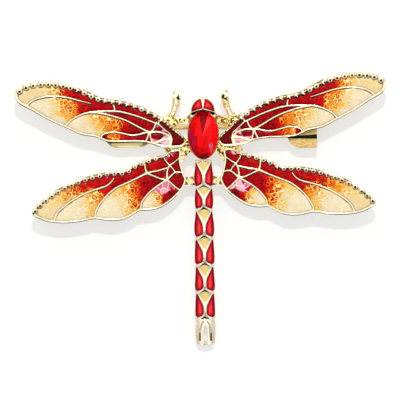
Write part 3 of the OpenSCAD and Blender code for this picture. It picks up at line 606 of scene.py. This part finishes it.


# The shades of a wing, charted in its cells: x, y in mm from the stone, the shade from 0, dark red,
# over red, orange and tan to 1, pale cream, and how much painted pink highlight shows there
front_shades = [
    (4.5, -1.2, 0.14, 0), (5.2, 0.2, 0.17, 0), (6.5, 1.8, 0.2, 0.1), (7.8, 3.2, 0.24, 0.1),
    (6.6, 0.4, 0.2, 0.42), (7.3, 1.0, 0.2, 0.55), (8.6, 1.8, 0.24, 0.3), (9.2, 1.3, 0.24, 0),
    (7, -0.2, 0.3, 0.8), (8.2, 0.1, 0.2, 0.3), (9.2, -0.2, 0.3, 0.2), (9.4, -1, 0.3, 0.8),
    (7.5, -1.5, 0.6, 1), (8.7, -1.7, 0.6, 0.9), (6.8, -1.7, 0.6, 1), (10.5, -0.8, 0.35, 0.1),
    (10, 3.9, 0.33, 0), (13, 5.3, 0.33, 0), (16, 6.2, 0.3, 0), (10, 1.9, 0.33, 0), (13, 3.2, 0.3, 0),
    (16, 4.3, 0.27, 0), (18.5, 4.85, 0.32, 0), (20, 5.1, 0.85, 0.2), (18.5, 6.6, 0.34, 0),
    (20, 6.6, 0.34, 0), (21.5, 6, 0.32, 0), (23.5, 5.9, 0.38, 0), (25.7, 5.9, 0.58, 0), (27, 5.4, 0.63, 0),
    (27, 7, 0.58, 0), (28, 5, 0.68, 0), (29, 6, 0.8, 0), (31, 6.5, 0.96, 0), (33, 6.7, 0.95, 0),
    (31, 5, 0.97, 0), (28.5, 3.9, 0.96, 0), (26, 3, 0.9, 0), (22, 8, 0.33, 0), (24.5, 8.9, 0.34, 0),
    (26.5, 9.4, 0.4, 0), (27.5, 9.7, 0.5, 0), (29, 9.8, 0.62, 0), (30.5, 9.6, 0.74, 0), (32.5, 9.6, 0.8, 0),
    (35, 9, 0.8, 0), (36, 8, 0.82, 0), (34.5, 8.6, 0.84, 0.1), (31.5, 8.9, 0.86, 0.25), (12, 0.9, 0.25, 0),
    (13.5, 1.6, 0.25, 0), (15, 2, 0.36, 0), (16, 2.5, 0.48, 0), (17.5, 3, 0.55, 0), (19, 3, 0.6, 0),
    (20.5, 2, 0.68, 0), (18, 1.8, 0.56, 0), (20, 4, 0.62, 0), (21.5, 3.4, 0.72, 0), (23, 3, 0.88, 0),
    (25, 2.5, 0.97, 0), (22, 1.5, 0.93, 0), (26, 2, 0.95, 0), (21, 1, 0.82, 0), (12, -0.3, 0.28, 0),
    (14, -0.4, 0.32, 0), (15.5, -0.2, 0.42, 0), (17, 0, 0.52, 0), (18.3, 0, 0.6, 0), (19.2, 0, 0.2, 0)
]
rear_shades = [
    (5, -4, 0.26, 0.1), (6, -4, 0.3, 0.45), (6.6, -4.6, 0.3, 0.2), (5, -5.4, 0.22, 0), (5.6, -6, 0.28, 0),
    (4.7, -6.6, 0.25, 0), (6.3, -7, 0.34, 0.1), (8, -5, 0.32, 0.2), (9.5, -5.2, 0.38, 0.1),
    (10.8, -5.8, 0.36, 0), (8.2, -6.2, 0.34, 0), (8.2, -7.6, 0.3, 0.25), (9.5, -7.5, 0.32, 0),
    (5, -8.6, 0.27, 0), (5.5, -9.3, 0.28, 0), (4.3, -9.7, 0.27, 0), (6, -10.4, 0.3, 0.5),
    (7.2, -10.2, 0.35, 1), (8.6, -10.9, 0.4, 0.9), (6, -11.9, 0.2, 0.1), (7.5, -12.8, 0.3, 0.1),
    (8.8, -12.6, 0.6, 0), (9.3, -13.6, 0.72, 0), (10.3, -12.6, 0.9, 0.2), (11.3, -13.5, 0.95, 0),
    (11, -14.2, 0.95, 0), (9.6, -11.6, 0.7, 0.5), (9.5, -9.4, 0.26, 0), (11, -9.8, 0.3, 0),
    (11.5, -11.2, 0.33, 0), (12.5, -12.5, 0.44, 0), (13.3, -10.6, 0.46, 0), (13.5, -13.5, 0.5, 0),
    (14.5, -12, 0.58, 0), (15.5, -10.6, 0.62, 0), (17, -11, 0.74, 0), (16.3, -12.5, 0.84, 0),
    (15.5, -14.5, 0.74, 0), (18, -13.5, 0.96, 0), (19.5, -14.5, 0.97, 0), (17, -15.5, 0.96, 0),
    (20.5, -15.5, 0.96, 0), (14, -14.8, 0.68, 0), (13, -7.2, 0.34, 0), (15, -7.9, 0.35, 0),
    (16.5, -8.6, 0.34, 0), (18, -9.6, 0.33, 0), (19.5, -10.6, 0.4, 0), (21, -11.6, 0.56, 0),
    (22.5, -12, 0.63, 0), (23.5, -13, 0.76, 0), (22.7, -15, 0.7, 0), (24, -14.5, 0.93, 0),
    (26, -14, 0.96, 0), (28, -15, 0.97, 0), (25, -16, 0.96, 0), (28.5, -16.2, 0.96, 0),
    (24.5, -12.4, 0.86, 0), (12.5, -6, 0.33, 0), (14.5, -7, 0.36, 0), (19, -8.2, 0.36, 0),
    (21.5, -8.8, 0.38, 0), (24, -9.7, 0.42, 0), (25.5, -10.3, 0.5, 0), (27, -11, 0.6, 0),
    (28.5, -11.8, 0.7, 0), (30, -13, 0.78, 0), (32, -14, 0.82, 0), (31, -15.6, 0.84, 0),
    (33.3, -14.8, 0.84, 0), (29.5, -13.9, 0.86, 0.3)
]


# Each point of a cell takes its shade from the points charted in that cell, the near ones most
def shade_cells(fill, side, shades):
    softening, other_cell = 0.05, 1e-9
    mesh = fill.data
    drawn = np.array(wing_place(side).inverted())
    flat = 1000 * (read_attribute(mesh, "position", 3) @ drawn[:3, :3].T + drawn[:3, 3])[:, :2]
    cells = read_attribute(mesh, "cell").astype(int)
    shades = np.array(shades)
    apart = ((flat[:, None] - shades[None, :, :2]) ** 2).sum(2)
    of_cell = cells[apart.argmin(0)]
    weight = np.where(cells[:, None] == of_cell[None, :], 1 / (apart + softening) ** 2, other_cell)
    mixed = weight @ shades[:, 2:] / weight.sum(1)[:, None]
    for name, column in (("shade", 0), ("pink_highlight", 1)):
        values = mesh.attributes.new(name, "FLOAT", "POINT").data
        values.foreach_set("value", mixed[:, column].astype(np.float32))


def voronoi(tree, feature, place, scale):
    made = add_node(tree, "ShaderNodeTexVoronoi", {"feature": feature}, {"Vector": place, "Scale": scale})
    return made.outputs


# The glitter in the red enamel: flakes of many sizes and clouds among them
glitter, given, handed = new_group(
    "glitter", {"Size": "Float", "Contrast": "Float"}, {"Brightness": "Float"})
place = own_place(glitter, per_mm)
flakes = axes(glitter, voronoi(glitter, "F1", place, given["Size"])["Color"])["X"]
clouded = calculate(glitter, "ADD", flakes, noise(glitter, place, scale=2.2, detail=4, roughness=0.7))
off_mean = calculate(glitter, "SUBTRACT", clouded, 1)
set_up(glitter, handed, {"Brightness": calculate(glitter, "MULTIPLY_ADD", off_mean, given["Contrast"], 1)})


def sparkle(tree, size, contrast):
    made = add_node(tree, "ShaderNodeGroup", {"node_tree": glitter}, {"Size": size, "Contrast": contrast})
    return made.outputs["Brightness"]


def blend_values(tree, share, first, second):
    made = add_node(tree, "ShaderNodeMix", {"data_type": "FLOAT"}, {0: share, 2: first, 3: second})
    return made.outputs[0]


wing_enamel, tree, shader = new_material("wing_enamel")
place = own_place(tree, per_mm)
shade, pink_highlight, from_rim, below_metal = (
    attribute(tree, name)["Fac"] for name in ("shade", "pink_highlight", "from_rim", "below_metal"))
# The net of bubbles: walls and crowns are paler than what lies between, in patches where orange meets cream
warp = noise(tree, place, scale=0.7, detail=1, gives="Color")
warped = add_node(tree, "ShaderNodeVectorMath", {"operation": "MULTIPLY_ADD"},
                  {0: warp, 1: (1.3, 1.3, 1.3), 2: place}).outputs["Vector"]
from_wall = voronoi(tree, "DISTANCE_TO_EDGE", warped, scale=1.05)["Distance"]
bubbles = tones(tree, from_wall, [(0, 1), (0.05, 0.9), (0.13, 0.12), (0.24, 0.25), (0.34, 0.8)])
net_place = tones(tree, shade, [(0.4, 0), (0.5, 1), (0.66, 1), (0.8, 0.3), (0.97, 0.15)])
patches = noise(tree, place, scale=0.45, detail=1)
placed_net = calculate(tree, "MULTIPLY", calculate(tree, "SUBTRACT", bubbles, 0.45), net_place)
net = calculate(tree, "MULTIPLY", placed_net, fade(tree, patches, 0.4, 0.58, low=0.25))
flow = noise(tree, place, scale=1.3, detail=3)
netted = calculate(tree, "MULTIPLY_ADD", net, 0.36, calculate(tree, "MULTIPLY_ADD", flow, 0.14, shade))
pour_tone = tones(tree, calculate(tree, "SUBTRACT", netted, 0.07), [
    (0.05, (0.07, 0, 0.001)), (0.2, (0.16, 0, 0.002)), (0.33, (0.34, 0, 0.002)),
    (0.43, (0.47, 0.005, 0.002)), (0.51, (0.58, 0.08, 0.003)), (0.59, (0.68, 0.22, 0.01)),
    (0.68, (0.77, 0.4, 0.07)), (0.77, (0.74, 0.54, 0.21)), (0.88, (0.7, 0.58, 0.36)),
    (0.98, (0.75, 0.66, 0.47))])
poured_tone = scaled(tree, pour_tone, calculate(tree, "MULTIPLY_ADD", net, 0.6, 1))
red_only = tones(tree, shade, [(0.38, 1), (0.5, 0.3), (0.75, 0.08)])
lit = scaled(tree, poured_tone, blend_values(tree, red_only, 1, sparkle(tree, size=3.2, contrast=1.1)))
# The enamel is painted black along the metal on its head's side, a painted shadow and reflection of the metal,
# and nearly clean along the metal on its tail's side
rim_shadow_black = fade(tree, below_metal, -0.2, 0.7, low=0.62, high=0.04, kind="LINEAR")
rim_shadow = fade(tree, from_rim, 0.00007, 0.00024, low=rim_shadow_black)
rim_patches = fade(tree, patches, 0.4, 0.54, low=0.45, kind="LINEAR")
pale_rim_shadow = calculate(tree, "MULTIPLY_ADD", calculate(tree, "SUBTRACT", rim_shadow, 1), rim_patches, 1)
rim_shadowed = scaled(tree, lit, blend_values(tree, red_only, pale_rim_shadow, rim_shadow))
# The painted pink highlights show in shards, each with a pale line round it, and stay away from the metal
shard_scale = 0.75
shards = axes(tree, voronoi(tree, "F1", place, shard_scale)["Color"])
from_shard_edge = voronoi(tree, "DISTANCE_TO_EDGE", place, shard_scale)["Distance"]
shard_rim = fade(tree, from_shard_edge, 0.02, 0.1, low=0.8, high=0)
lilac_tones = [(0.25, (0.38, 0, 0.04)), (0.55, (0.6, 0.15, 0.26)), (0.85, (0.8, 0.45, 0.54))]
lilac = tones(tree, shards["Y"], lilac_tones)
inward = fade(tree, from_rim, 0.0002, 0.0006, high=-0.15)
pink_highlight_sum = calculate(tree, "ADD", calculate(tree, "MULTIPLY_ADD", shards["X"], 0.35, pink_highlight), inward)
pink_highlight_share = fade(tree, pink_highlight_sum, 0.5, 0.7, high=0.92)
highlight_shard = blend(tree, shard_rim, lilac, (0.88, 0.66, 0.7, 1))
waves = add_node(tree, "ShaderNodeBump", terms={"Strength": 0.6, "Distance": 0.00006, "Height": flow})
set_up(tree, shader, {
    "Base Color": blend(tree, pink_highlight_share, rim_shadowed, highlight_shard), "Normal": waves.outputs["Normal"],
    "Roughness": 0.4, "Specular IOR Level": 0.02, "Coat Weight": 0.07, "Coat Roughness": 0.04})

for wing, shades in (("front", front_shades), ("rear", rear_shades)):
    for side in ("left", "right"):
        fill = poured(f"enamel_{wing}_{side}", f"poured_{wing}_{side}", pitch=0.00025, lift=0.00015,
                      thick=0.00057)
        shade_cells(fill, side, shades)
        fill.data.materials.append(wing_enamel)


# The enamel of the body and the head: a drop of clear red in each cell, over bright metal, with painted shade
# at its rim and a painted highlight along its crown. The flanks of the body are painted darker, as shade where
# they lean away.
def drop_enamel(name, rim_to_crown_light, flank_shade):
    enamel, tree, shader = new_material(name)
    drop_rim, crown_half, flank_half = 0.0007, 0.0009, 0.0019
    # Painted shade at the drop's rim, going over to a painted highlight along its crown
    depth = fade(tree, attribute(tree, "from_rim")["Fac"], 0, drop_rim, kind="LINEAR")
    lit = scaled(tree, tones(tree, depth, rim_to_crown_light), sparkle(tree, size=3, contrast=0.35))
    from_line = calculate(tree, "SUBTRACT", axes(tree, own_place(tree))["X"], stone_at.x)
    off_line = calculate(tree, "ABSOLUTE", from_line)
    painted_flank_shade = fade(tree, off_line, crown_half, flank_half, low=1.1, high=flank_shade, kind="LINEAR")
    set_up(tree, shader, {"Base Color": scaled(tree, lit, painted_flank_shade), "Roughness": 0.4,
                          "Specular IOR Level": 0.02, "Coat Weight": 0.12, "Coat Roughness": 0.03})
    return enamel


body_rim_to_crown_light = [(0, (0.08, 0, 0.003)), (0.14, (0.28, 0, 0.012)), (0.5, (0.5, 0.004, 0.02)),
               (0.95, (0.92, 0.05, 0.035))]
head_rim_to_crown_light = [(0, (0.2, 0, 0.007)), (0.2, (0.33, 0.001, 0.01)), (0.6, (0.5, 0.009, 0.015)),
               (1, (0.74, 0.04, 0.03))]
body_enamel = drop_enamel("body_enamel", body_rim_to_crown_light, flank_shade=0.5)
head_enamel = drop_enamel("head_enamel", head_rim_to_crown_light, flank_shade=0.75)
for segment in range(1, 7):
    fill = poured(f"enamel_abdomen_{segment}", f"poured_body_{segment}", pitch=0.00022, lift=0.0002,
                  thick=0.00042)
    fill.data.materials.append(body_enamel)
for side in ("left", "right"):
    fill = poured(f"enamel_head_{side}", f"poured_head_{side}", pitch=0.0002, lift=0.0002, thick=0.00045)
    fill.data.materials.append(head_enamel)


# The stone: an oval of red glass, ground with a table and two rings of facets and foiled behind, then rubbed
# over in its setting. The facets of its back, as they would show through the table, are painted on its top:
# a dark wedge between bright ones, as painted reflections over the glass's red.
girdle_z, half_wide, half_long = 0.0051, 0.00295, 0.0047
crown, base = 0.0017, -0.00095
# Where the facets break: each place is a share of the stone's half width and a height over its girdle
girdle_half, low_break, high_break = 0.0001, (0.84, 0.00095), (0.92, 0.0008)
table_share, base_share = 0.56, 0.55
bm = bmesh.new()
bmesh.ops.create_cone(bm, cap_ends=True, segments=64, radius1=1, radius2=1, depth=crown - base)
bmesh.ops.translate(bm, verts=bm.verts, vec=(0, 0, (crown + base) / 2))


# Grinds a ring of flat facets, each of which holds a point at the low place and one at the high place
def grind(bm, count, turn, low, high):
    for i in range(count):
        a = 2 * math.pi * (i + turn) / count
        out, up = high[1] - low[1], low[0] - high[0]
        normal = Vector((out * math.cos(a), out * math.sin(a), up)) * (1 if out > 0 else -1)
        at = Vector((low[0] * math.cos(a), low[0] * math.sin(a), low[1]))
        bmesh.ops.bisect_plane(bm, geom=bm.verts[:] + bm.edges[:] + bm.faces[:], dist=1e-9, plane_co=at,
                               plane_no=normal, clear_outer=True)
        bmesh.ops.holes_fill(bm, edges=[e for e in bm.edges if e.is_boundary])


grind(bm, 16, 0, (1, girdle_half), low_break)
grind(bm, 8, 0.5, high_break, (table_share, crown))
grind(bm, 16, 0, (1, -girdle_half), (base_share, base))
bmesh.ops.scale(bm, verts=bm.verts, vec=(half_wide, half_long, 1))
# The back's facets as the table shows them, cut into its top for the painted reflections: where their edges
# run, in mm across and along the stone
seen_lean = 0.2
back_edges = [
    ((-0.17, -0.2), (-0.75, 4.2)), ((-0.17, -0.2), (1.1, 4.2)), ((-0.17, -0.2), (2.1, 3.2)),
    ((-1.6, 0), (-1.5, 1)), ((-1.2, 0), (-1.2, -1)), ((0.98, 0), (0.98, 1)), ((0, -0.25), (1, -0.25)),
    ((-2.3, 2), (-2.1, -3)), ((-1, 3.6), (-1.8, 0)), ((1.05, -2.2), (1.75, -1.45)),
    ((1.75, -1.45), (2.05, -2.5)), ((2.05, -2.5), (1.7, -3.4)), ((1.7, -3.4), (1.05, -2.2))
]
for (x0, y0), (x1, y1) in back_edges:
    top = [f for f in bm.faces if f.normal.z > seen_lean]
    bmesh.ops.bisect_plane(bm, geom=list({g for f in top for g in (f, *f.edges, *f.verts)}), dist=1e-8,
                           plane_co=(x0 / 1000, y0 / 1000, 0), plane_no=(y1 - y0, x0 - x1, 0))
bmesh.ops.translate(bm, verts=bm.verts, vec=stone_at + Vector((0, 0, girdle_z)))
bmesh.ops.recalc_face_normals(bm, faces=bm.faces)
stone = piece_from(bm, "cut_stone")


# The painted reflections in the stone over its red, in mm from its middle: dark ends, a dark wedge that opens
# to the head with light beside it, a pink lozenge low on the right, crimson far left with a dark strip, and a
# red middle
ends, wedge_tip, wedge_deep = (-4.1, 4.05), (-0.17, -0.2), 2.9
wedge_sides, light_side = (-0.132, 0.289), 0.668
lozenge_at, lozenge_half = (1.55, -2.4), (0.55, 1)
crimson_to, crimson_span, strip_to, strip_span, middle_to = -1.58, (-3.2, 1.3), -1.2, (-4, -0.25), 0.98


def facet_red_and_painted_light(x, y):
    tip_x, tip_y = wedge_tip
    left, right, bright = (tip_x + slope * (y - tip_y) for slope in (*wedge_sides, light_side))
    if not within(y, ends):
        return (0.3, 0, 0.004)
    if y > tip_y and left < x < right:
        return (0.2, 0, 0.003) if y > wedge_deep else (0.3, 0, 0.003)
    if tip_y < y < wedge_deep and 0 < x < bright:
        return (1, 0.03, 0.035)
    if abs(x - lozenge_at[0]) / lozenge_half[0] + abs(y - lozenge_at[1]) / lozenge_half[1] < 1:
        return (0.72, 0.1, 0.2)
    if x < crimson_to and within(y, crimson_span):
        return (0.58, 0.004, 0.04)
    if crimson_to < x < strip_to and within(y, strip_span):
        return (0.36, 0, 0.002)
    if y < strip_span[1] and x < middle_to:
        return (0.66, 0, 0.002)
    return (0.86, 0.003, 0.006) if x > 0 else (0.78, 0.001, 0.004)


# Each facet is painted lighter as it faces toward_light and darker as it turns away: painted shading
toward_light, plain_share, lean_share = Vector((0.5, -0.3, 0.6)), 0.8, 0.35
facet_reds_and_painted_light = []
for facet in stone.data.polygons:
    x, y = 1000 * (facet.center - stone_at).xy
    light = plain_share + lean_share * facet.normal.dot(toward_light)
    facet_reds_and_painted_light += [*(c * light for c in facet_red_and_painted_light(x, y)), 1]
stone.data.attributes.new("facet_red_and_painted_light", "FLOAT_COLOR", "FACE").data.foreach_set("color", facet_reds_and_painted_light)
red_glass, tree, shader = new_material("red_glass")
streaks = noise(tree, own_place(tree, (900, 250, 900)), scale=1, detail=2)
streaked = fade(tree, streaks, 0.3, 0.7, low=0.8, high=1.2, kind="LINEAR")
glass_red_and_painted_light = scaled(tree, attribute(tree, "facet_red_and_painted_light")["Color"], streaked)
set_up(tree, shader, {"Base Color": glass_red_and_painted_light, "Roughness": 0.2, "Specular IOR Level": 0.02, "Coat Weight": 0.12,
                      "Coat Roughness": 0.01})
stone.data.materials.append(red_glass)
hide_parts("stone")
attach(stone, "brooch")


# The pin: a steel wire with an eye at one end and a ground point at the other, gold washed, and the rivet
# it turns on.
pin_gold = plated_metal("pin_gold", (0.9, 0.72, 0.38), (0.6, 0.4, 0.16), 0.12, 0.00001)
for node in ("pin_stem", "hinge_rivet"):
    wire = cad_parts[node]
    wire.data.materials.clear()
    wire.data.materials.append(pin_gold)

size = {"cad": [list(corner) for corner in solids_box], "visual": [list(corner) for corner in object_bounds()]}
